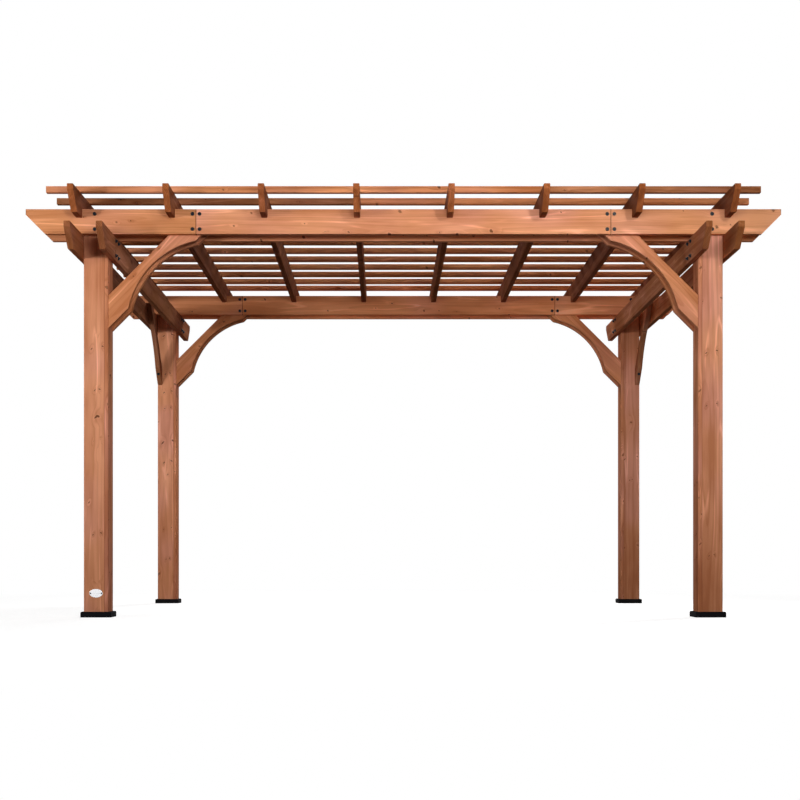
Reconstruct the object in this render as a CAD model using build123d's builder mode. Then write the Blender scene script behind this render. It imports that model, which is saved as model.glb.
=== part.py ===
"""Free-standing cedar pergola, in millimetres.

+X runs along the long beams, +Y from front to back and +Z up. The origin is on the
ground, at the middle of the plan. Four posts carry two pairs of long beams, which rest
on two pairs of side beams. Notched rafters sit over the long beams and carry the slats.
"""
import os
from math import sqrt

from build123d import *

# Plan and height
BEAM_LENGTH = 4267.0
SIDE_BEAM_LENGTH = 3460.0
BEAM_UNDERSIDE = 2168.0

# How far each layer reaches past the outer faces of the posts
BEAM_OVERHANG = 319.5
SIDE_BEAM_OVERHANG = 350.0
RAFTER_OVERHANG = 271.0
SLAT_OVERHANG = 196.0

# Lumber sections
POST_SIZE = 140.0
POST_ROUNDING = 6.0
BEAM_THICK = 38.0
BEAM_DEPTH = 140.0
BOARD_THICK = 35.0
BOARD_DEPTH = 133.0
SLAT_SIZE = 36.0
BOARD_EASE = 2.5
SLAT_EASE = 2.0

# Beam ends, and the seams of the long beams measured from the posts' inner faces
BEAM_NOSE = 32.0
SEAM_FROM_POST = 502.0
SEAM_GAP = 0.6

# Rafters and slats
RAFTER_COUNT = 8
RAFTER_RISE = 84.0
RAFTER_NOSE = 30.0
NOTCH_CLEARANCE = 0.5
SLAT_COUNT = 12
SLAT_ROW_MARGIN = 213.0
SLAT_JOINT_RAFTERS = (6, 4)

# Arched braces, measured from the corner of a post and the line of their tops
BRACE_LEG = 610.0
BRACE_END_CUT = 185.0
SIDE_BRACE_END_CUT = 120.0
BRACE_TOE = 114.0
BRACE_WAIST = 51.0
BRACE_TUCK = 85.0

# Splice blocks and base covers
SPLICE_LENGTH = 200.0
COVER_MARGIN = 17.0
COVER_HEIGHT = 32.0
COVER_BEVEL = 5.0
COVER_ROUNDING = 8.0
COVER_CLEARANCE = 0.3

# Places worked out from the sizes above
POST_X = (BEAM_LENGTH - POST_SIZE) / 2 - BEAM_OVERHANG
POST_Y = (SIDE_BEAM_LENGTH - POST_SIZE) / 2 - SIDE_BEAM_OVERHANG
BEAM_OFFSET = (POST_SIZE + BEAM_THICK) / 2
SIDE_BEAM_OFFSET = (POST_SIZE + BOARD_THICK) / 2
FACE_INSET = (POST_SIZE - BOARD_THICK) / 2
SEAM_X = POST_X - POST_SIZE / 2 - SEAM_FROM_POST
BEAM_TOP = BEAM_UNDERSIDE + BEAM_DEPTH
BRACE_TOP = BEAM_UNDERSIDE + BRACE_TUCK
RAFTER_TOP = BEAM_TOP + RAFTER_RISE
RAFTER_BOTTOM = RAFTER_TOP - BOARD_DEPTH
RAFTER_REACH = POST_Y + POST_SIZE / 2 + RAFTER_OVERHANG
RAFTER_SPAN = 2 * (POST_X + SIDE_BEAM_OFFSET)
RAFTER_PITCH = RAFTER_SPAN / (RAFTER_COUNT - 1)
RAFTER_X = [number * RAFTER_PITCH - RAFTER_SPAN / 2 for number in range(RAFTER_COUNT)]

SIDES = {"left": -1, "right": 1}
ROWS = {"front": -1, "rear": 1}
LAYERS = {"outer": 1, "inner": -1}
UP = Vector(0, 0, 1)

os.makedirs("parts", exist_ok=True)


def save(piece, name):
    """Label a finished piece and write it to its own file."""
    piece.part.label = name
    export_step(piece.part, f"parts/{name}.step")


def upright_plane(x, y, across):
    """A vertical plane through (x, y), with its own x along across and its own y up."""
    return Plane(origin=(x, y, 0), x_dir=across, z_dir=across.cross(UP))


def square_end(at, bottom, top):
    """Points of a plain board end, from bottom to top."""
    return [(at, bottom), (at, top)]


def nosed_end(at, bottom, top, nose, outward):
    """Points of a board end cut at 45 degrees below a short upright nose."""
    cut = top - bottom - nose
    return [(at - outward * cut, bottom), (at, top - nose), (at, top)]


def cut_board(plane, thick, left_end, right_end, long_axis):
    """A board whose side view lies between two ends, with its long edges eased."""
    with BuildPart() as board:
        with BuildSketch(plane) as side_view:
            with BuildLine() as outline:
                Polyline(*left_end, *reversed(right_end), close=True)
            make_face()
        extrude(amount=thick / 2, both=True)
        chamfer(board.edges().filter_by(long_axis), BOARD_EASE)
    return board


def make_post(side, row):
    """One square post with rounded corners, from the ground to the top of the beams."""
    with BuildPart() as post:
        with BuildSketch(Plane.XY) as section:
            with Locations((SIDES[side] * POST_X, ROWS[row] * POST_Y)):
                RectangleRounded(POST_SIZE, POST_SIZE, POST_ROUNDING)
        extrude(amount=BEAM_TOP)
    save(post, f"post_{row}_{side}")


def make_base_cover(side, row):
    """A low plastic collar that stands on the ground round the foot of a post."""
    outside = POST_SIZE + 2 * COVER_MARGIN
    inside = POST_SIZE + 2 * COVER_CLEARANCE
    with BuildPart() as cover:
        with Locations((SIDES[side] * POST_X, ROWS[row] * POST_Y)):
            Box(outside, outside, COVER_HEIGHT, align=(Align.CENTER, Align.CENTER, Align.MIN))
        fillet(cover.edges().filter_by(Axis.Z), COVER_ROUNDING)
        chamfer(cover.faces().sort_by(Axis.Z)[-1].edges(), COVER_BEVEL)
        with BuildSketch(Plane.XY) as hole:
            with Locations((SIDES[side] * POST_X, ROWS[row] * POST_Y)):
                RectangleRounded(inside, inside, POST_ROUNDING + COVER_CLEARANCE)
        extrude(amount=COVER_HEIGHT, mode=Mode.SUBTRACT)
    save(cover, f"base_cover_{row}_{side}")


def make_long_beam(row, layer):
    """One long beam of three boards, with nosed outer ends and two seams."""
    y = ROWS[row] * (POST_Y + LAYERS[layer] * BEAM_OFFSET)
    tip = BEAM_LENGTH / 2
    outer_seam = SEAM_X + SEAM_GAP / 2
    inner_seam = SEAM_X - SEAM_GAP / 2
    ends = {
        "left": (
            nosed_end(-tip, BEAM_UNDERSIDE, BEAM_TOP, BEAM_NOSE, -1),
            square_end(-outer_seam, BEAM_UNDERSIDE, BEAM_TOP),
        ),
        "middle": (
            square_end(-inner_seam, BEAM_UNDERSIDE, BEAM_TOP),
            square_end(inner_seam, BEAM_UNDERSIDE, BEAM_TOP),
        ),
        "right": (
            square_end(outer_seam, BEAM_UNDERSIDE, BEAM_TOP),
            nosed_end(tip, BEAM_UNDERSIDE, BEAM_TOP, BEAM_NOSE, 1),
        ),
    }
    side_view = upright_plane(0, y, Vector(1, 0, 0))
    for place, (left_end, right_end) in ends.items():
        board = cut_board(side_view, BEAM_THICK, left_end, right_end, Axis.X)
        save(board, f"beam_{row}_{layer}_{place}")


def make_side_beam(side, layer):
    """One beam from front to back, beside the posts and under the long beams."""
    x = SIDES[side] * (POST_X + LAYERS[layer] * SIDE_BEAM_OFFSET)
    tip = SIDE_BEAM_LENGTH / 2
    bottom = BEAM_UNDERSIDE - BOARD_DEPTH
    front_end = nosed_end(-tip, bottom, BEAM_UNDERSIDE, BEAM_NOSE, -1)
    rear_end = nosed_end(tip, bottom, BEAM_UNDERSIDE, BEAM_NOSE, 1)
    side_view = upright_plane(x, 0, Vector(0, 1, 0))
    board = cut_board(side_view, BOARD_THICK, front_end, rear_end, Axis.Y)
    save(board, f"side_beam_{side}_{layer}")


def make_rafter(number):
    """One rafter, notched to sit over the four long beams."""
    front_end = nosed_end(-RAFTER_REACH, RAFTER_BOTTOM, RAFTER_TOP, RAFTER_NOSE, -1)
    rear_end = nosed_end(RAFTER_REACH, RAFTER_BOTTOM, RAFTER_TOP, RAFTER_NOSE, 1)
    notch_width = BEAM_THICK + 2 * NOTCH_CLEARANCE
    notch_height = BEAM_TOP - RAFTER_BOTTOM
    notch_y = [row * (POST_Y + layer * BEAM_OFFSET) for row in (-1, 1) for layer in (-1, 1)]
    side_view = upright_plane(RAFTER_X[number - 1], 0, Vector(0, 1, 0))
    blank = cut_board(side_view, BOARD_THICK, front_end, rear_end, Axis.Y)
    with BuildPart() as rafter:
        add(blank.part)
        with BuildSketch(side_view) as notches:
            with Locations(*[(y, RAFTER_BOTTOM + notch_height / 2) for y in notch_y]):
                Rectangle(notch_width, notch_height)
        extrude(amount=BOARD_THICK, both=True, mode=Mode.SUBTRACT)
    save(rafter, f"rafter_{number}")


def cut_arched_board(plane, top, leg, end_cut, face_axis):
    """An arched brace board: the plane's x is the way from the post, and its y the height."""
    heel = top - leg
    low_toe = (BRACE_TOE, heel + BRACE_TOE)
    high_toe = (leg - BRACE_TOE, top - BRACE_TOE)
    arch = (leg - end_cut) / 2 + BRACE_WAIST / sqrt(2)
    with BuildPart() as board:
        with BuildSketch(plane) as side_view:
            with BuildLine() as outline:
                ThreePointArc(low_toe, (arch, top - arch), high_toe)
                Polyline(
                    high_toe,
                    (leg, top),
                    (leg - end_cut, top),
                    (0, heel + end_cut),
                    (0, heel),
                    low_toe,
                )
            make_face()
        extrude(amount=BOARD_THICK / 2, both=True)
        chamfer(board.faces().filter_by(face_axis).edges(), BOARD_EASE)
    return board


def make_long_brace(side, row):
    """Two arched boards, flush with the post's faces, that reach up between the beams."""
    across = Vector(-SIDES[side], 0, 0)
    x = SIDES[side] * (POST_X - POST_SIZE / 2)
    y = ROWS[row] * POST_Y
    with BuildPart() as brace:
        for inset in (-FACE_INSET, FACE_INSET):
            plane = upright_plane(x, y + inset, across)
            board = cut_arched_board(plane, BRACE_TOP, BRACE_LEG, BRACE_END_CUT, Axis.Y)
            add(board.part)
    save(brace, f"long_brace_{row}_{side}")


def make_side_brace(side, row):
    """One arched board, flush with the post's outer face, up to the side beam's top."""
    leg = BRACE_LEG - BRACE_TUCK
    x = SIDES[side] * (POST_X + FACE_INSET)
    y = ROWS[row] * (POST_Y - POST_SIZE / 2)
    plane = upright_plane(x, y, Vector(0, -ROWS[row], 0))
    board = cut_arched_board(plane, BEAM_UNDERSIDE, leg, SIDE_BRACE_END_CUT, Axis.X)
    save(board, f"side_brace_{row}_{side}")


def make_splice_block(side, row):
    """A block between a pair of long beams, behind the seam bolts, clear of the rafters."""
    with BuildPart() as block:
        with BuildSketch(Plane.XY.offset(BRACE_TOP)) as section:
            with Locations((SIDES[side] * SEAM_X, ROWS[row] * POST_Y)):
                Rectangle(SPLICE_LENGTH, POST_SIZE)
        extrude(amount=BEAM_TOP - BRACE_TOP)
        with BuildSketch(Plane.XY.offset(RAFTER_BOTTOM)) as slots:
            with Locations(*[(x, ROWS[row] * POST_Y) for x in RAFTER_X]):
                Rectangle(BOARD_THICK, POST_SIZE)
        extrude(amount=BEAM_TOP - RAFTER_BOTTOM, mode=Mode.SUBTRACT)
    save(block, f"splice_block_{row}_{side}")


def make_roof_slats():
    """Square slats on top of the rafters, each of two boards that meet over a rafter."""
    reach = POST_X + POST_SIZE / 2 + SLAT_OVERHANG
    row_reach = RAFTER_REACH - SLAT_ROW_MARGIN
    pitch = 2 * row_reach / (SLAT_COUNT - 1)
    seated = (Align.MIN, Align.CENTER, Align.MIN)
    with BuildPart() as slats:
        for number in range(SLAT_COUNT):
            joint_x = RAFTER_X[SLAT_JOINT_RAFTERS[number % 2] - 1]
            left_length = joint_x - SEAM_GAP / 2 + reach
            right_length = reach - joint_x - SEAM_GAP / 2
            with Locations((-reach, number * pitch - row_reach, RAFTER_TOP)):
                Box(left_length, SLAT_SIZE, SLAT_SIZE, align=seated)
            with Locations((reach - right_length, number * pitch - row_reach, RAFTER_TOP)):
                Box(right_length, SLAT_SIZE, SLAT_SIZE, align=seated)
        chamfer(slats.edges().filter_by(Axis.X), SLAT_EASE)
    save(slats, "roof_slats")


for row in ROWS:
    for side in SIDES:
        make_post(side, row)
        make_base_cover(side, row)
        make_long_brace(side, row)
        make_side_brace(side, row)
        make_splice_block(side, row)
    for layer in LAYERS:
        make_long_beam(row, layer)

for side in SIDES:
    for layer in LAYERS:
        make_side_beam(side, layer)

for number in range(1, RAFTER_COUNT + 1):
    make_rafter(number)

make_roof_slats()
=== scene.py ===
"""Looks of a free-standing cedar pergola, in metres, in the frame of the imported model.

+X runs along the long beams, +Y from front to back and +Z up, with the origin on the
ground at the middle of the plan. The sections follow the order of putting it together.
"""
from math import radians

import bmesh
import bpy
from mathutils import Euler, Matrix, Vector


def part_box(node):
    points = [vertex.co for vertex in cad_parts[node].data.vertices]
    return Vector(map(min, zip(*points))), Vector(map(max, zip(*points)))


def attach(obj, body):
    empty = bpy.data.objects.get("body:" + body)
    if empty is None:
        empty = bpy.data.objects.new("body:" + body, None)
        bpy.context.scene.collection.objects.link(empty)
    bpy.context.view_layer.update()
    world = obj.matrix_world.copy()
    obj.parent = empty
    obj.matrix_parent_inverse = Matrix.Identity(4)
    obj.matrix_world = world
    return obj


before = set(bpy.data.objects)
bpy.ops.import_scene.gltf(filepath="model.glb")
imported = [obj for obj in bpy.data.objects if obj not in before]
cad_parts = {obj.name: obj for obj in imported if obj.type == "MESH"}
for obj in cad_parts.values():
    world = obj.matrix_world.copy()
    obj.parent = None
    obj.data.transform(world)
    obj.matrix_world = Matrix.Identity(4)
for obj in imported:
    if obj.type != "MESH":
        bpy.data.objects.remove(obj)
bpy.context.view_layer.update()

# The view and the studio.
# The picture is taken from low down in front, with the lens shifted up to take in the roof.
# Five soft boxes in front light the roof from below, and two hang high behind and at the right.
scene = bpy.context.scene
scene.view_settings.view_transform = "Standard"

camera_data = bpy.data.cameras.new("camera")
camera_data.lens = 63.55
camera_data.sensor_width = 36.0
camera_data.shift_x = 0.0197
camera_data.shift_y = 0.2001
camera_data.clip_end = 200.0
camera = bpy.data.objects.new("camera", camera_data)
camera.location = (-0.1082, -9.395, 0.3253)
camera.rotation_euler = (radians(90), 0, 0)
scene.collection.objects.link(camera)
scene.camera = camera


def put(tree, kind, feeds=None, **settings):
    """Add a node to a tree, set it up, and feed its inputs with numbers or other sockets."""
    node = tree.nodes.new(kind)
    for key, value in settings.items():
        setattr(node, key, value)
    for key, feed in (feeds or {}).items():
        if isinstance(feed, bpy.types.NodeSocket):
            tree.links.new(feed, node.inputs[key])
        else:
            node.inputs[key].default_value = feed
    return node


def maths(tree, operation, *feeds, clamp=False):
    """One number worked out from others."""
    numbers = dict(enumerate(feeds))
    return put(tree, "ShaderNodeMath", numbers, operation=operation, use_clamp=clamp).outputs[0]


def length_of(tree, vector):
    """How long a vector is."""
    return put(tree, "ShaderNodeVectorMath", {0: vector}, operation="LENGTH").outputs["Value"]


def soft_step(tree, value, low, high, at_low=0.0, at_high=1.0):
    """A smooth change from one number to another as a value passes from low to high."""
    feeds = {"Value": value, "From Min": low, "From Max": high, "To Min": at_low,
             "To Max": at_high}
    return put(tree, "ShaderNodeMapRange", feeds, interpolation_type="SMOOTHSTEP").outputs[0]


def background_ray(tree):
    """1 for the rays that see the background: from the camera, a reflection or through glass."""
    rays = put(tree, "ShaderNodeLightPath").outputs
    seen = maths(tree, "ADD", rays["Is Camera Ray"], rays["Is Glossy Ray"])
    return maths(tree, "ADD", seen, rays["Is Transmission Ray"], clamp=True)


def fresh_material(name):
    """A material with nothing in its node tree yet, and that tree."""
    material = bpy.data.materials.new(name)
    material.use_nodes = True
    material.node_tree.nodes.clear()
    return material, material.node_tree


WHITE = (1, 1, 1, 1)
world = bpy.data.worlds.new("studio")
scene.world = world
world.use_nodes = True
air = world.node_tree
air.nodes.clear()
soft_light = put(air, "ShaderNodeBackground", {"Color": WHITE, "Strength": 0.10})
white_wall = put(air, "ShaderNodeBackground", {"Color": WHITE, "Strength": 1.0})
either = put(air, "ShaderNodeMixShader", {0: background_ray(air), 1: soft_light.outputs[0],
                                          2: white_wall.outputs[0]})
put(air, "ShaderNodeOutputWorld", {"Surface": either.outputs[0]})

FLOOR_HALF = 40
floor_mesh = bmesh.new()
bmesh.ops.create_grid(floor_mesh, x_segments=1, y_segments=1, size=FLOOR_HALF)
floor_data = bpy.data.meshes.new("floor")
floor_mesh.to_mesh(floor_data)
floor_mesh.free()
floor = bpy.data.objects.new("floor", floor_data)
scene.collection.objects.link(floor)

# round the posts the floor's paint takes their shadows, and a glow adds what it lacks to white
LIT_PAINT = 0.37
PAINT_SHARE = 0.55
PAINT_NEAR = 2.6
PAINT_FAR = 6.0
pale_floor, ground = fresh_material("pale floor")
paint = put(ground, "ShaderNodeBsdfDiffuse", {"Color": (0.8, 0.8, 0.8, 1)})
bounce = put(ground, "ShaderNodeBsdfDiffuse", {"Color": (0.11, 0.095, 0.085, 1)})
from_middle = length_of(ground, put(ground, "ShaderNodeTexCoord").outputs["Object"])
catch = soft_step(ground, from_middle, PAINT_NEAR, PAINT_FAR, PAINT_SHARE, 0.0)
made_white = maths(ground, "DIVIDE", maths(ground, "MULTIPLY_ADD", catch, -LIT_PAINT, 1.0),
                   maths(ground, "SUBTRACT", 1.0, catch))
glow = put(ground, "ShaderNodeEmission", {"Color": WHITE, "Strength": made_white})
lit = put(ground, "ShaderNodeMixShader", {0: catch, 1: glow.outputs[0], 2: paint.outputs[0]})
shown = put(ground, "ShaderNodeMixShader", {0: background_ray(ground), 1: bounce.outputs[0],
                                            2: lit.outputs[0]})
put(ground, "ShaderNodeOutputMaterial", {"Surface": shown.outputs[0]})
floor_data.materials.append(pale_floor)


def soft_box(name, place, aim, power, width, spread):
    """A square soft box that points at a spot on the pergola."""
    data = bpy.data.lights.new(name, "AREA")
    data.shape = "SQUARE"
    data.size = width
    data.energy = power
    data.spread = radians(spread)
    lamp = bpy.data.objects.new(name, data)
    lamp.location = place
    lamp.rotation_euler = (Vector(aim) - Vector(place)).to_track_quat("-Z", "Y").to_euler()
    lamp.visible_camera = False
    scene.collection.objects.link(lamp)


for name, place, aim, power, width, spread in (
    ("front soft box", (0.0, -6.0, 2.2), (0.0, -0.5, 1.4), 54, 1.2, 180),
    ("low right soft box", (1.0, -7.7, 1.6), (0.0, -0.5, 1.4), 76, 0.7, 180),
    ("high right spot", (2.6, -7.7, 3.2), (0.8, -1.4, 2.4), 14, 0.9, 50),
    ("far left spot", (-6.5, -7.7, 1.6), (-2.0, -1.4, 2.4), 19, 0.9, 50),
    ("left soft box", (-7.0, -4.0, 1.2), (0.0, -0.5, 1.8), 95, 2.0, 180),
    ("rear soft box", (0.0, 5.5, 5.5), (0.0, 1.8, 1.4), 105, 2.0, 110),
    ("high right soft box", (5.0, 2.4, 4.6), (2.0, 0.2, 1.5), 42, 1.2, 55),
):
    soft_box(name, place, aim, power, width, spread)

# The posts.
# Four square posts of cedar glued up from two pieces, with the narrow strip to the inside, so
# a joint line runs up the front. They are planed, rounded at the corners and stained red brown.
cedar = bpy.data.node_groups.new("cedar board", "ShaderNodeTree")
for name, kind, start in (
    ("Place", "NodeSocketVector", (0, 0, 0)),
    ("Facing", "NodeSocketVector", (0, 0, 1)),
    ("Board number", "NodeSocketFloat", 1.0),
    ("Pale stain", "NodeSocketColor", (0.6, 0.25, 0.13, 1)),
    ("Deep stain", "NodeSocketColor", (0.4, 0.14, 0.06, 1)),
    ("Knots", "NodeSocketFloat", 0.5),
    ("Knot pairs", "NodeSocketFloat", 0.0),
    ("Half length", "NodeSocketFloat", 100.0),
    ("Half thickness", "NodeSocketFloat", 100.0),
    ("Half depth", "NodeSocketFloat", 100.0),
    ("Glue line", "NodeSocketFloat", 100.0),
    ("End tone", "NodeSocketFloat", 1.0),
    ("Foot line", "NodeSocketFloat", -100.0),
):
    socket = cedar.interface.new_socket(name, in_out="INPUT", socket_type=kind)
    socket.default_value = start
for name, kind in (("Colour", "NodeSocketColor"), ("Roughness", "NodeSocketFloat"),
                   ("Height", "NodeSocketFloat")):
    cedar.interface.new_socket(name, in_out="OUTPUT", socket_type=kind)
inputs = put(cedar, "NodeGroupInput").outputs


def vectors(tree, operation, *feeds):
    """One vector worked out from others."""
    numbers = dict(enumerate(feeds))
    return put(tree, "ShaderNodeVectorMath", numbers, operation=operation).outputs[0]


def parts(tree, vector):
    """The three numbers of a vector."""
    return put(tree, "ShaderNodeSeparateXYZ", {0: vector}).outputs


def joined(tree, x, y, z):
    """A vector put together from three numbers."""
    return put(tree, "ShaderNodeCombineXYZ", {0: x, 1: y, 2: z}).outputs[0]


def speckle(tree, place, stretch, detail, number, roughness=0.5):
    """Cloudy noise, stretched along the board, that differs from board to board."""
    feeds = {"Vector": vectors(tree, "MULTIPLY", place, stretch), "W": number, "Scale": 1.0,
             "Detail": detail, "Roughness": roughness}
    return put(tree, "ShaderNodeTexNoise", feeds, noise_dimensions="4D").outputs


def either_of(tree, amount, first, second):
    """The first number where the amount is 0 and the second where it is 1."""
    return put(tree, "ShaderNodeMix", {0: amount, 2: first, 3: second}).outputs[0]


def blend(tree, amount, first, second, kind="MIX"):
    """Two colours blended by an amount."""
    return put(tree, "ShaderNodeMix", {0: amount, 6: first, 7: second}, data_type="RGBA",
               blend_type=kind, clamp_factor=True).outputs[2]


# a second piece of wood, with a grain of its own, starts at the glue line
STRIP_STEP = 0.43
PATTERN_STEP = 5.37
spots = parts(cedar, inputs["Place"])
sides = parts(cedar, inputs["Facing"])
line_side = maths(cedar, "SIGN", inputs["Glue line"])
past_line = maths(cedar, "SUBTRACT", maths(cedar, "MULTIPLY", spots[2], line_side),
                  maths(cedar, "ABSOLUTE", inputs["Glue line"]))
strip = maths(cedar, "GREATER_THAN", past_line, 0.0)
number = maths(cedar, "MULTIPLY_ADD", strip, STRIP_STEP, inputs["Board number"])
own = maths(cedar, "MULTIPLY", number, PATTERN_STEP)

# the grain wanders a little along the board
WANDER = 0.045
wander = speckle(cedar, inputs["Place"], (0.8, 5.0, 5.0), 1.5, own)["Color"]
wander = vectors(cedar, "SUBTRACT", wander, (0.5, 0.5, 0.5))
wander = vectors(cedar, "MULTIPLY", wander, (0.0, WANDER, WANDER))
place = vectors(cedar, "ADD", inputs["Place"], wander)

# knots: some cells of a grid hold one, with a ragged rim. In a post they come in pairs about
# the heart, and its side faces have theirs at other heights than the front and the back
KNOT_CELLS_ALONG = 4.0
KNOT_CELLS_ACROSS = 11.0
KNOT_STEP = 17.13
KNOT_LEAST = 0.0034
KNOT_MORE = 0.0075
HEART_OFF_MIDDLE = 0.006
KNOT_ROWS_SLOPE = 0.22
SIDE_FACE_STEP = 3.7
paired = inputs["Knot pairs"]
on_side = maths(cedar, "GREATER_THAN", maths(cedar, "ABSOLUTE", sides[2]), 0.7)
on_side = maths(cedar, "MULTIPLY", on_side, paired)
over_face = either_of(cedar, on_side, spots[2], spots[1])
about_heart = maths(cedar, "ABSOLUTE", maths(cedar, "ADD", over_face, HEART_OFF_MIDDLE))
across_board = either_of(cedar, paired, over_face, about_heart)
up_board = maths(cedar, "MULTIPLY_ADD", over_face, KNOT_ROWS_SLOPE, spots[0])
up_board = maths(cedar, "MULTIPLY_ADD", on_side, SIDE_FACE_STEP, up_board)
cells_at = vectors(cedar, "MULTIPLY", joined(cedar, up_board, 0.0, across_board),
                   (KNOT_CELLS_ALONG, 0.0, KNOT_CELLS_ACROSS))
cells_at = vectors(cedar, "ADD", cells_at,
                   joined(cedar, maths(cedar, "MULTIPLY", number, KNOT_STEP), 0.0, 0.0))
cells = put(cedar, "ShaderNodeTexVoronoi", {"Vector": cells_at, "Scale": 1.0},
            voronoi_dimensions="3D").outputs
to_knot = vectors(cedar, "SUBTRACT", cells["Position"], cells_at)
to_knot = vectors(cedar, "DIVIDE", to_knot, (KNOT_CELLS_ALONG, 1.0, KNOT_CELLS_ACROSS))
to_knot = parts(cedar, to_knot)
lean = maths(cedar, "MULTIPLY_ADD", paired, 0.45, 0.12)
lean = maths(cedar, "MULTIPLY_ADD", to_knot[2], lean, to_knot[0])
reach = maths(cedar, "MULTIPLY", to_knot[2], maths(cedar, "MULTIPLY_ADD", paired, -0.3, 0.95))
from_knot = length_of(cedar, joined(cedar, lean, 0.0, reach))
luck = put(cedar, "ShaderNodeSeparateColor", {0: cells["Color"]}).outputs
holds_knot = maths(cedar, "LESS_THAN", luck[0], inputs["Knots"])
knot_size = maths(cedar, "POWER", luck[1], 2.0)
knot_size = maths(cedar, "MULTIPLY_ADD", knot_size, KNOT_MORE, KNOT_LEAST)
knot_size = maths(cedar, "MULTIPLY", knot_size, holds_knot)
knot_size = maths(cedar, "MAXIMUM", knot_size, 0.00001)
ragged = speckle(cedar, inputs["Place"], (110.0, 110.0, 110.0), 1.0, own)["Fac"]
ragged = maths(cedar, "MULTIPLY_ADD", ragged, 1.1, 0.45)
relative = maths(cedar, "DIVIDE", maths(cedar, "MULTIPLY", from_knot, ragged), knot_size)
along_grain = joined(cedar, maths(cedar, "MULTIPLY", lean, 0.38), 0.0, reach)
around = maths(cedar, "DIVIDE", length_of(cedar, along_grain), knot_size)
knot = soft_step(cedar, relative, 0.6, 1.05, 1.0, 0.0)
pale_heart = maths(cedar, "MULTIPLY", soft_step(cedar, relative, 0.35, 0.75, 1.0, 0.0),
                   maths(cedar, "GREATER_THAN", luck[2], 0.55))
halo = soft_step(cedar, around, 0.6, 3.0, 1.0, 0.0)
swirl = maths(cedar, "MULTIPLY", halo, soft_step(cedar, relative, 1.0, 2.0))

# rings about a heart that lies outside the board, and bend round the knots
HEART_AWAY = 0.075
RING_BEND = 0.007
RINGS_PER_METRE = 130.0
STREAKS_PER_METRE = 60.0
sway = maths(cedar, "SINE", maths(cedar, "MULTIPLY", number, 12.9))
lift = maths(cedar, "SINE", maths(cedar, "MULTIPLY", number, 7.3))
heart = joined(cedar, 0.0, maths(cedar, "MULTIPLY_ADD", sway, 0.02, HEART_AWAY),
               maths(cedar, "MULTIPLY", lift, 0.05))
across = vectors(cedar, "MULTIPLY", vectors(cedar, "SUBTRACT", place, heart), (0.0, 1.0, 1.0))
radius = maths(cedar, "MULTIPLY_ADD", halo, RING_BEND, length_of(cedar, across))
streaks = speckle(cedar, joined(cedar, parts(cedar, place)[0], radius, 0.0),
                  (0.25, STREAKS_PER_METRE, 0.0), 3.0, own, 0.6)["Fac"]
ring = maths(cedar, "FRACT", maths(cedar, "MULTIPLY_ADD", streaks, 1.5,
                                   maths(cedar, "MULTIPLY", radius, RINGS_PER_METRE)))
late_wood = maths(cedar, "MULTIPLY", soft_step(cedar, ring, 0.45, 0.95),
                  soft_step(cedar, ring, 0.95, 1.0, 1.0, 0.0))
clouds = speckle(cedar, inputs["Place"], (2.6, 13.0, 13.0), 2.5, own)["Fac"]
fibre = speckle(cedar, place, (9.0, 420.0, 420.0), 3.0, own, 0.6)["Fac"]
drift = speckle(cedar, inputs["Place"], (2.2, 3.0, 3.0), 1.0,
                maths(cedar, "ADD", own, 40.0))["Fac"]
board_tone = put(cedar, "ShaderNodeTexWhiteNoise", {"W": number},
                 noise_dimensions="1D").outputs["Value"]

# pale flames: fine light lines that wander along the middle of a board and fade out, grain
# figure and painted highlight streaks in one
flame_and_highlight = speckle(cedar, place, (1.3, 16.0, 16.0), 1.0, maths(cedar, "ADD", own, 70.0))["Fac"]
flame_and_highlight = maths(cedar, "ABSOLUTE", maths(cedar, "SUBTRACT", flame_and_highlight, 0.5))
flame_and_highlight = soft_step(cedar, flame_and_highlight, 0.0, 0.035, 1.0, 0.0)
flame_and_highlight = maths(cedar, "MULTIPLY", flame_and_highlight, soft_step(cedar, clouds, 0.45, 0.62))

# how far each spot is from the deep stain to the pale one
MIDDLE_SHADE = 0.55
shade = MIDDLE_SHADE
for pattern, share in ((streaks, 2.4), (clouds, 1.9), (fibre, 0.7)):
    off_middle = maths(cedar, "SUBTRACT", pattern, 0.5)
    shade = maths(cedar, "MULTIPLY_ADD", off_middle, share, shade)
shade = maths(cedar, "MULTIPLY_ADD", late_wood, -0.24, shade)
shade = maths(cedar, "MULTIPLY_ADD", maths(cedar, "SUBTRACT", board_tone, 0.5), 0.25, shade,
              clamp=True)

# a post is darker towards its foot, as painted shade, sawn ends drink more stain, rubbed edges
# hold less stain and are painted lighter as edge highlights, and joints show as fine dark lines
FOOT_REACH = 0.95
EASED_EDGE = 0.0045
END_LINE = 0.0026
cut_end = soft_step(cedar, maths(cedar, "ABSOLUTE", sides[0]), 0.35, 0.7)
above_foot = maths(cedar, "SUBTRACT", spots[0], inputs["Foot line"])
painted_foot_shade = soft_step(cedar, above_foot, 0.0, FOOT_REACH, 1.0, 0.0)


def near_limit(spot, limit, reach):
    """1 where a spot is within reach of the board's edge on one axis."""
    gone = maths(cedar, "SUBTRACT", maths(cedar, "ABSOLUTE", spot), limit)
    return soft_step(cedar, gone, -reach, -0.3 * reach)


# lighter edges: partly rubbed wear, partly a painted highlight along the eased edges
eased = maths(cedar, "MULTIPLY", near_limit(spots[1], inputs["Half thickness"], EASED_EDGE),
              near_limit(spots[2], inputs["Half depth"], EASED_EDGE))
end_line = near_limit(spots[0], inputs["Half length"], END_LINE)
glue_line = soft_step(cedar, maths(cedar, "ABSOLUTE", past_line), 0.0004, 0.0013, 1.0, 0.0)

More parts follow.
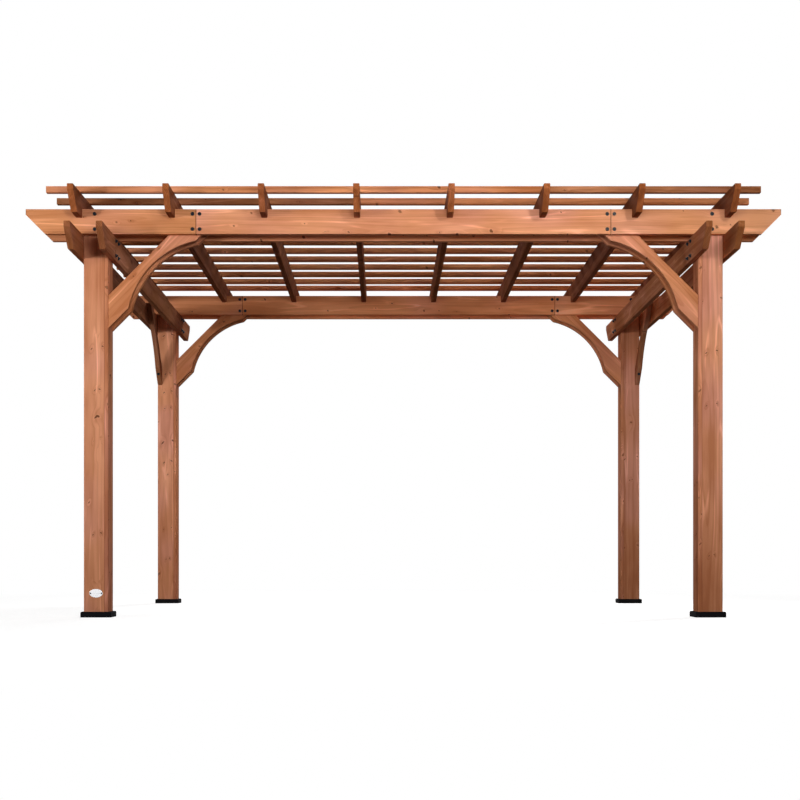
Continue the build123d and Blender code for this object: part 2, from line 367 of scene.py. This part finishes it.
# the stain, then in turn what lightens or darkens it: where, how much, the colour and the way
cool_patch = soft_step(cedar, drift, 0.42, 0.66)
ring_tint = blend(cedar, maths(cedar, "GREATER_THAN", luck[2], 0.5), (0.80, 0.72, 0.68, 1),
                  (1.2, 1.25, 1.32, 1))
colour = blend(cedar, shade, inputs["Deep stain"], inputs["Pale stain"])
for mask, share, tint, way in (
    (cool_patch, 0.85, (1.03, 1.05, 1.34, 1), "MULTIPLY"),
    # painted shade: the post darker towards its foot
    (painted_foot_shade, 1.0, (0.80, 0.75, 0.70, 1), "MULTIPLY"),
    (swirl, 0.5, ring_tint, "MULTIPLY"),
    # grain flames and painted highlight streaks
    (flame_and_highlight, 0.75, (1.40, 1.50, 1.70, 1), "MULTIPLY"),
    (strip, 0.8, (0.92, 0.86, 0.82, 1), "MULTIPLY"),
    (knot, 0.85, (0.105, 0.036, 0.018, 1), "MIX"),
    (pale_heart, 0.6, (0.44, 0.19, 0.10, 1), "MIX"),
    # rubbed wear and painted edge highlights
    (eased, 0.8, (1.22, 1.24, 1.28, 1), "MULTIPLY"),
    (glue_line, 1.0, (0.5, 0.42, 0.4, 1), "MULTIPLY"),
    (end_line, 1.0, (0.30, 0.26, 0.25, 1), "MULTIPLY"),
):
    colour = blend(cedar, maths(cedar, "MULTIPLY", mask, share), colour, tint, way)
end_tone = joined(cedar, inputs["End tone"], inputs["End tone"], inputs["End tone"])
end_tint = vectors(cedar, "MULTIPLY", (0.79, 0.68, 0.52), end_tone)
end_colour = blend(cedar, 1.0, colour, end_tint, "MULTIPLY")
end_colour = blend(cedar, maths(cedar, "MULTIPLY_ADD", late_wood, 0.5, 0.1), end_colour,
                   (0.16, 0.058, 0.02, 1))
colour = blend(cedar, cut_end, colour, end_colour)
rough = maths(cedar, "MULTIPLY_ADD", fibre, 0.16, 0.68)
rough = maths(cedar, "MULTIPLY_ADD", cut_end, 0.15, rough)
height = maths(cedar, "MULTIPLY_ADD", late_wood, 0.4, maths(cedar, "MULTIPLY", fibre, 0.6))
height = maths(cedar, "MULTIPLY_ADD", knot, 0.5, height)
height = maths(cedar, "MULTIPLY_ADD", maths(cedar, "ADD", glue_line, end_line), -1.0, height)
put(cedar, "NodeGroupOutput", {"Colour": colour, "Roughness": rough, "Height": height})

ALONG_X = (0, 0, 0)
ALONG_Y = (0, 0, radians(-90))
ALONG_Z = (0, radians(90), 0)


def cedar_wood(name, turn, centre, number, pale, deep, knots, **more):
    """A stained cedar material whose grain runs along one board, with the board's own pattern."""
    material, tree = fresh_material(name)
    where = put(tree, "ShaderNodeTexCoord").outputs
    centre = Euler(turn).to_matrix() @ Vector(centre)
    lie = put(tree, "ShaderNodeMapping", {"Vector": where["Object"], "Location": -centre,
                                          "Rotation": turn})
    face = put(tree, "ShaderNodeMapping", {"Vector": where["Normal"], "Rotation": turn})
    board = put(tree, "ShaderNodeGroup", {
        "Place": lie.outputs[0], "Facing": face.outputs[0], "Board number": number,
        "Pale stain": (*pale, 1), "Deep stain": (*deep, 1), "Knots": knots, **more},
        node_tree=cedar).outputs
    bump = put(tree, "ShaderNodeBump", {"Strength": 0.6, "Distance": 0.0008,
                                        "Height": board["Height"]})
    surface = put(tree, "ShaderNodeBsdfPrincipled", {
        "Base Color": board["Colour"], "Roughness": board["Roughness"],
        "Normal": bump.outputs[0], "Specular IOR Level": 0.002})
    put(tree, "ShaderNodeOutputMaterial", {"Surface": surface.outputs[0]})
    return material


def finish_node(node, material):
    """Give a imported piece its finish."""
    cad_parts[node].material_slots[0].material = material


def middle_of(node):
    """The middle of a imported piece."""
    low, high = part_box(node)
    return (low + high) / 2


def half_of(node, axis):
    """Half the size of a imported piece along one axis, 0 for X, 1 for Y and 2 for Z."""
    low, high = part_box(node)
    return (high - low)[axis] / 2


def toned(stain, tone):
    """A stain made lighter or darker."""
    return tuple(part * tone for part in stain)


ROWS = {"front": -1, "rear": 1}
SIDES = {"left": -1, "right": 1}
LAYERS = {"outer": 1, "inner": -1}
POST_PALE = (0.79, 0.350, 0.190)
POST_DEEP = (0.51, 0.188, 0.088)
# each post's own tone, with the rear right post darkened further as painted shade
POST_TONES_AND_SHADE = {("front", "left"): 1.0, ("front", "right"): 1.0, ("rear", "left"): 1.12,
              ("rear", "right"): 0.85}
STRIP_WIDTH = 0.022
board_number = 1
for (row, side), tone in POST_TONES_AND_SHADE.items():
    node = f"post_{row}_{side}"
    half_side = half_of(node, 0)
    finish_node(node, cedar_wood(
        f"{node} cedar", ALONG_Z, middle_of(node), board_number, toned(POST_PALE, tone),
        toned(POST_DEEP, tone), knots=0.85, **{
            "Knot pairs": 1.0, "Foot line": -half_of(node, 2), "Half thickness": half_side,
            "Half depth": half_side, "Glue line": SIDES[side] * (half_side - STRIP_WIDTH)}))
    board_number += 1

# The base covers.
# A black cover, moulded in two halves from polypropylene with a fine spark texture, clips
# round the steel fixing plate at the foot of each post. The halves meet in a small rib.


def made_piece(name, mesh, material):
    """Turn a finished bmesh into a piece of the pergola."""
    bmesh.ops.recalc_face_normals(mesh, faces=mesh.faces)
    data = bpy.data.meshes.new(name)
    mesh.to_mesh(data)
    mesh.free()
    data.materials.append(material)
    piece = bpy.data.objects.new(name, data)
    scene.collection.objects.link(piece)
    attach(piece, "root")
    return piece


def each_once(items):
    """The items in the order they come, without repeats."""
    return list(dict.fromkeys(items))


def block(mesh, centre, size, round_by):
    """A small block with rounded edges."""
    lie = Matrix.Translation(centre) @ Matrix.Diagonal((*size, 1))
    corners = bmesh.ops.create_cube(mesh, size=1, matrix=lie)["verts"]
    edges = each_once(edge for corner in corners for edge in corner.link_edges)
    bmesh.ops.bevel(mesh, geom=edges, offset=round_by, segments=2, profile=0.5, affect="EDGES",
                    material=-1)


def surface_noise(tree, scale, detail):
    """Noise all over a small piece, at a number of grains per metre."""
    spot = put(tree, "ShaderNodeTexCoord").outputs["Object"]
    feeds = {"Vector": spot, "Scale": scale, "Detail": detail}
    return put(tree, "ShaderNodeTexNoise", feeds).outputs["Fac"]


cover_plastic, shell = fresh_material("black cover plastic")
grit = surface_noise(shell, 900.0, 2.0)
dusty = soft_step(shell, surface_noise(shell, 14.0, 4.0), 0.5, 0.8, 0.0, 0.5)
cover_colour = blend(shell, dusty, (0.011, 0.0105, 0.012, 1), (0.026, 0.024, 0.024, 1))
cover_rough = maths(shell, "MULTIPLY_ADD", grit, 0.2, 0.40)
cover_rough = maths(shell, "MULTIPLY_ADD", dusty, 0.25, cover_rough)
cover_bump = put(shell, "ShaderNodeBump", {"Strength": 0.4, "Distance": 0.0004, "Height": grit})
cover_face = put(shell, "ShaderNodeBsdfPrincipled", {
    "Base Color": cover_colour, "Roughness": cover_rough, "Normal": cover_bump.outputs[0],
    "Specular IOR Level": 0.0015})
put(shell, "ShaderNodeOutputMaterial", {"Surface": cover_face.outputs[0]})

RIB_SIZE = (0.0034, 0.0024, 0.021)
RIB_MIDDLE = 0.0115
RIB_ROUND = 0.0006
for row in ROWS:
    for side in SIDES:
        node = f"base_cover_{row}_{side}"
        finish_node(node, cover_plastic)
        low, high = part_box(node)
        ribs = bmesh.new()
        for face_y in (low.y, high.y):
            block(ribs, (middle_of(node).x, face_y, RIB_MIDDLE), RIB_SIZE, RIB_ROUND)
        made_piece(f"cover_ribs_{row}_{side}", ribs, cover_plastic)

# The side beams.
# Two boards per side clamp the posts from left and right under the long beams, with sawn
# noses. Each joint is held by four bolts, with black washers, that pass through the post.
BEAM_PALE = (0.78, 0.315, 0.145)
BEAM_DEEP = (0.55, 0.19, 0.075)
# the side beams are stained darker than the long beams as painted shade
SIDE_BEAM_PALE_SHADED = toned(BEAM_PALE, 0.63)
SIDE_BEAM_DEEP_SHADED = toned(BEAM_DEEP, 0.57)
for side in SIDES:
    for layer in LAYERS:
        node = f"side_beam_{side}_{layer}"
        finish_node(node, cedar_wood(
            f"{node} cedar", ALONG_Y, middle_of(node), board_number, SIDE_BEAM_PALE_SHADED,
            SIDE_BEAM_DEEP_SHADED, knots=0.5, **{
                "Half thickness": half_of(node, 0), "Half depth": half_of(node, 2)}))
        board_number += 1

black_steel, coat = fresh_material("black coated steel")
pits = surface_noise(coat, 700.0, 2.0)
rubbed = soft_step(coat, surface_noise(coat, 160.0, 3.0), 0.55, 0.75)
steel_colour = blend(coat, rubbed, (0.004, 0.006, 0.009, 1), (0.016, 0.021, 0.028, 1))
steel_rough = maths(coat, "MULTIPLY_ADD", pits, 0.25, 0.28)
steel_bump = put(coat, "ShaderNodeBump", {"Strength": 0.3, "Distance": 0.0003, "Height": pits})
steel_face = put(coat, "ShaderNodeBsdfPrincipled", {
    "Base Color": steel_colour, "Roughness": steel_rough, "Normal": steel_bump.outputs[0],
    "Specular IOR Level": 0.2})
put(coat, "ShaderNodeOutputMaterial", {"Surface": steel_face.outputs[0]})


def seat_on(spot, facing):
    """Where a fastener sits: at a spot on a face, with its own Z along the way the face looks."""
    return Matrix.Translation(spot) @ Vector(facing).to_track_quat("Z", "Y").to_matrix().to_4x4()


def disc(mesh, seat, low, high, radius, sides, round_by=0.0, top_radius=None):
    """A round or many-sided disc about a fastener's axis, with its outer rim eased."""
    lie = seat @ Matrix.Translation((0, 0, (low + high) / 2))
    made = bmesh.ops.create_cone(
        mesh, cap_ends=True, segments=sides, radius1=radius, radius2=top_radius or radius,
        depth=high - low, matrix=lie)["verts"]
    if round_by:
        back = seat.inverted()
        top = [corner for corner in made if (back @ corner.co).z > (low + high) / 2]
        rim = each_once(edge for corner in top for edge in corner.link_edges
                        if all(end in top for end in edge.verts))
        bmesh.ops.bevel(mesh, geom=rim, offset=round_by, segments=2, profile=0.5,
                        affect="EDGES", material=-1)


WASHER_RADIUS = 0.0108
WASHER_THICK = 0.0022
HEAD_RADIUS = 0.0094
HEAD_TOP = WASHER_THICK + 0.0064
BOLT_RADIUS = 0.0048
THREAD_STUB = 0.005


def hex_end(mesh, spot, facing, stub=0.0):
    """A washer with a hexagon head on it, or a nut when the bolt's end stands out of it."""
    seat = seat_on(spot, facing)
    disc(mesh, seat, 0.0, WASHER_THICK, WASHER_RADIUS, sides=24, round_by=0.0006)
    disc(mesh, seat, WASHER_THICK, HEAD_TOP, HEAD_RADIUS, sides=6, round_by=0.0012)
    if stub:
        disc(mesh, seat, HEAD_TOP, HEAD_TOP + stub, BOLT_RADIUS, sides=12, round_by=0.001)


SIDE_BOLT_FROM_EDGE = 0.0245
SIDE_BOLT_APART = 0.038
for side, sign in SIDES.items():
    bolts = bmesh.new()
    outer_low, outer_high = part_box(f"side_beam_{side}_outer")
    inner_low, inner_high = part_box(f"side_beam_{side}_inner")
    outside_x = outer_high.x if sign > 0 else outer_low.x
    inside_x = inner_low.x if sign > 0 else inner_high.x
    for row in ROWS:
        post = middle_of(f"post_{row}_{side}")
        for y in (post.y - SIDE_BOLT_APART, post.y + SIDE_BOLT_APART):
            for z in (outer_low.z + SIDE_BOLT_FROM_EDGE, outer_high.z - SIDE_BOLT_FROM_EDGE):
                hex_end(bolts, (outside_x, y, z), (sign, 0, 0))
                hex_end(bolts, (inside_x, y, z), (-sign, 0, 0), THREAD_STUB)
    made_piece(f"side_beam_bolts_{side}", bolts, black_steel)

# The long beams.
# Four beams stand on the side beams in pairs, one in front of the posts and one behind. Each
# is three boards that meet over a block, with bolts on both sides of the seams and at the posts.
BEAM_TONES = {("front", "left"): (0.98, 1.04, 1.0), ("front", "middle"): (1.06, 1.16, 1.30),
              ("front", "right"): (1.0, 1.10, 1.12), ("rear", "left"): (1.08, 1.12, 1.15),
              ("rear", "middle"): (1.22, 1.26, 1.30), ("rear", "right"): (1.15, 1.24, 1.35)}
for (row, third), tones in BEAM_TONES.items():
    pale = [part * tone for part, tone in zip(BEAM_PALE, tones)]
    deep = [part * tone for part, tone in zip(BEAM_DEEP, tones)]
    for layer in LAYERS:
        node = f"beam_{row}_{layer}_{third}"
        finish_node(node, cedar_wood(
            f"{node} cedar", ALONG_X, middle_of(node), board_number, pale, deep, knots=0.65,
            **{"Half length": half_of(node, 0), "Half thickness": half_of(node, 1),
               "Half depth": half_of(node, 2)}))
        board_number += 1

SEAM_BOLT_FROM_SEAM = 0.020
BOLT_FROM_EDGE = 0.027
for row, sign in ROWS.items():
    bolts = bmesh.new()
    outer_low, outer_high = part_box(f"beam_{row}_outer_middle")
    inner_low, inner_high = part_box(f"beam_{row}_inner_middle")
    outside_y = outer_high.y if sign > 0 else outer_low.y
    inside_y = inner_low.y if sign > 0 else inner_high.y
    for side in SIDES:
        seam_x = outer_high.x if side == "right" else outer_low.x
        post_x = middle_of(f"post_{row}_{side}").x
        for x in (seam_x - SEAM_BOLT_FROM_SEAM, seam_x + SEAM_BOLT_FROM_SEAM, post_x):
            for z in (outer_low.z + BOLT_FROM_EDGE, outer_high.z - BOLT_FROM_EDGE):
                hex_end(bolts, (x, outside_y, z), (0, sign, 0))
                hex_end(bolts, (x, inside_y, z), (0, -sign, 0), THREAD_STUB)
    made_piece(f"long_beam_bolts_{row}", bolts, black_steel)

# The braces and the splice blocks.
# Arched braces are bandsawn from wide boards, in pairs along the long beams and single along
# the side beams, where a lag screw shows in each toe. Blocks fill the gap behind the seams.
BRACE_PALE = (0.72, 0.30, 0.14)
BRACE_DEEP = (0.50, 0.175, 0.07)
# the side braces are stained darker than the long braces as painted shade
SIDE_BRACE_PALE_SHADED = toned(BRACE_PALE, 0.60)
SIDE_BRACE_DEEP_SHADED = toned(BRACE_DEEP, 0.56)
BLOCK_PALE = toned(BRACE_PALE, 0.85)
BLOCK_DEEP = toned(BRACE_DEEP, 0.85)
for row in ROWS:
    for side in SIDES:
        node = f"long_brace_{row}_{side}"
        turn = (0, radians(45 if side == "left" else 135), 0)
        finish_node(node, cedar_wood(f"{node} cedar", turn, middle_of(node), board_number,
                                     BRACE_PALE, BRACE_DEEP, knots=0.45))
        node = f"side_brace_{row}_{side}"
        turn = (radians(-45 if row == "front" else -135), 0, radians(-90))
        finish_node(node, cedar_wood(f"{node} cedar", turn, middle_of(node), board_number + 1,
                                     SIDE_BRACE_PALE_SHADED, SIDE_BRACE_DEEP_SHADED, knots=0.45))
        node = f"splice_block_{row}_{side}"
        finish_node(node, cedar_wood(f"{node} cedar", ALONG_X, middle_of(node),
                                     board_number + 2, BLOCK_PALE, BLOCK_DEEP, knots=0.3))
        board_number += 3

LAG_SPOT = Vector((1.7965, 1.165, 1.718))
for row, front in ROWS.items():
    lags = bmesh.new()
    for side, sign in SIDES.items():
        spot = Vector((sign * LAG_SPOT.x, front * LAG_SPOT.y, LAG_SPOT.z))
        hex_end(lags, spot, Vector((0, -front, -1)).normalized())
    made_piece(f"brace_lag_screws_{row}", lags, black_steel)

# The rafters.
# Eight boards on edge cross all four long beams. They are notched over them and nosed at both
# ends like the beams. Their very dark stain is painted shade for their shaded sides.
RAFTER_PALE_SHADED = (0.33, 0.115, 0.049)
RAFTER_DEEP_SHADED = (0.175, 0.054, 0.021)
# the sawn noses are lightened back out of the painted shade
RAFTER_END_TONE = 2.15
rafters = [f"rafter_{number}" for number in range(1, 9)]
for node in rafters:
    finish_node(node, cedar_wood(
        f"{node} cedar", ALONG_Y, middle_of(node), board_number, RAFTER_PALE_SHADED, RAFTER_DEEP_SHADED,
        knots=0.5, **{"Half thickness": half_of(node, 0), "Half depth": half_of(node, 2),
                      "End tone": RAFTER_END_TONE}))
    board_number += 1

# The slats.
# Twelve square slats lie across the rafters, each of two lengths that meet on a rafter, in
# turn right and left of the middle. One countersunk screw holds them at every rafter.
SLAT_PALE = (0.86, 0.35, 0.150)
SLAT_DEEP = (0.46, 0.150, 0.052)
SLAT_ROWS = 12
slat_low, slat_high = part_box("roof_slats")
slat_size = slat_high.z - slat_low.z
slat_pitch = (slat_high.y - slat_low.y - slat_size) / (SLAT_ROWS - 1)
first_row = slat_low.y + slat_size / 2
joint_x = [middle_of("rafter_6").x, middle_of("rafter_4").x]
slat_cedar = cedar_wood("roof slat cedar", ALONG_X, (0, first_row, middle_of("roof_slats").z),
                        board_number, SLAT_PALE, SLAT_DEEP, knots=0.4,
                        **{"Half thickness": slat_size / 2, "Half depth": slat_size / 2})

# the slats are one node, so the material itself tells the rows and lengths apart
tree = slat_cedar.node_tree
board = next(node for node in tree.nodes if node.type == "GROUP")
lie = parts(tree, board.inputs["Place"].links[0].from_socket)
row_number = maths(tree, "ROUND", maths(tree, "DIVIDE", lie[1], slat_pitch))
in_slat = maths(tree, "MULTIPLY_ADD", row_number, -slat_pitch, lie[1])
odd = maths(tree, "MODULO", row_number, 2.0)
joint = maths(tree, "MULTIPLY_ADD", odd, joint_x[1] - joint_x[0], joint_x[0])
second = maths(tree, "GREATER_THAN", lie[0], joint)
slat_number = maths(tree, "MULTIPLY_ADD", row_number, 2.0, second)
slat_number = maths(tree, "ADD", slat_number, float(board_number))
tree.links.new(joined(tree, lie[0], in_slat, lie[2]), board.inputs["Place"])
tree.links.new(slat_number, board.inputs["Board number"])

# every other length is a darker tone, and the two front rows darker still, partly as painted
# shade
IN_TURN_DARKER = 0.14
FRONT_TURN_TONE_AND_SHADE = 0.24
FRONT_ROWS_TONE_AND_SHADE = 0.08
in_turn = maths(tree, "ABSOLUTE", maths(tree, "SUBTRACT", odd, second))
front_rows = maths(tree, "LESS_THAN", row_number, 1.5)
turn_tone_and_shade = maths(tree, "MULTIPLY_ADD", front_rows, FRONT_TURN_TONE_AND_SHADE, IN_TURN_DARKER)
darker = maths(tree, "MULTIPLY_ADD", in_turn, turn_tone_and_shade,
               maths(tree, "MULTIPLY", front_rows, FRONT_ROWS_TONE_AND_SHADE))
for key, stain in (("Pale stain", SLAT_PALE), ("Deep stain", SLAT_DEEP)):
    stained = blend(tree, darker, (*stain, 1), (0.0, 0.0, 0.0, 1))
    tree.links.new(stained, board.inputs[key])
finish_node("roof_slats", slat_cedar)

SCREW_FROM_JOINT = 0.009
SCREW_RADIUS = 0.004
SCREW_TOP_RADIUS = 0.0036
SCREW_DEPTH = 0.001
SCREW_PROUD = 0.0005
screws = bmesh.new()
for row_index in range(SLAT_ROWS):
    y = first_row + row_index * slat_pitch
    for node in rafters:
        x = middle_of(node).x
        at_joint = abs(x - joint_x[row_index % 2]) < 0.001
        for screw_x in (x - SCREW_FROM_JOINT, x + SCREW_FROM_JOINT) if at_joint else (x,):
            seat = seat_on((screw_x, y, slat_high.z), (0, 0, 1))
            disc(screws, seat, -SCREW_DEPTH, SCREW_PROUD, SCREW_RADIUS, sides=12,
                 top_radius=SCREW_TOP_RADIUS)
made_piece("slat_screws", screws, black_steel)

# The oval plate.
# A small oval plate of white lacquered aluminium, pressed slightly hollow at the rim and left
# plain, is fixed with two black screws to the front of the front left post.
enamel, gloss = fresh_material("white lacquered aluminium")
ripple = surface_noise(gloss, 120.0, 2.0)
enamel_colour = blend(gloss, ripple, (0.90, 0.91, 0.95, 1), (0.96, 0.97, 0.98, 1))
enamel_rough = maths(gloss, "MULTIPLY_ADD", ripple, 0.12, 0.2)
enamel_face = put(gloss, "ShaderNodeBsdfPrincipled", {
    "Base Color": enamel_colour, "Roughness": enamel_rough, "Metallic": 0.6, "Coat Weight": 0.3})
put(gloss, "ShaderNodeOutputMaterial", {"Surface": enamel_face.outputs[0]})

PLATE_HALF = (0.0375, 0.0245)
PLATE_HEIGHT = 0.137
PLATE_THICK = 0.0014
PLATE_RIM = ((0.0012, 0.0006), (0.0022, -0.0004), (0.006, 0.0005), (0.008, 0.0003))
post_low, post_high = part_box("post_front_left")
plate_spot = Vector((middle_of("post_front_left").x, post_low.y, PLATE_HEIGHT))
plate = bmesh.new()
rim = bmesh.ops.create_circle(plate, cap_ends=True, segments=48, radius=1.0)["verts"]
bmesh.ops.scale(plate, vec=(*PLATE_HALF, 1), verts=rim)
front = [piece for piece in bmesh.ops.extrude_face_region(plate, geom=plate.faces[:])["geom"]
         if isinstance(piece, bmesh.types.BMFace)]
corners = each_once(corner for piece in front for corner in piece.verts)
bmesh.ops.translate(plate, vec=(0, 0, PLATE_THICK), verts=corners)
for inset, rise in PLATE_RIM:
    bmesh.ops.inset_region(plate, faces=front, thickness=inset, depth=0.0, use_even_offset=True)
    corners = each_once(corner for piece in front for corner in piece.verts)
    bmesh.ops.translate(plate, vec=(0, 0, rise), verts=corners)
for piece in plate.faces:
    piece.smooth = True
bmesh.ops.transform(plate, matrix=seat_on(plate_spot, (0, -1, 0)), verts=plate.verts)
made_piece("oval_plate", plate, enamel)

PLATE_SCREW_OUT = 0.0308
PLATE_SCREW_RADIUS = 0.0045
PLATE_SCREW_LOW = 0.001
PLATE_SCREW_HIGH = 0.0034
plate_screws = bmesh.new()
for x in (-PLATE_SCREW_OUT, PLATE_SCREW_OUT):
    seat = seat_on(plate_spot + Vector((x, 0, 0)), (0, -1, 0))
    disc(plate_screws, seat, PLATE_SCREW_LOW, PLATE_SCREW_HIGH, PLATE_SCREW_RADIUS, sides=16,
         round_by=0.0009)
made_piece("plate_screws", plate_screws, black_steel)
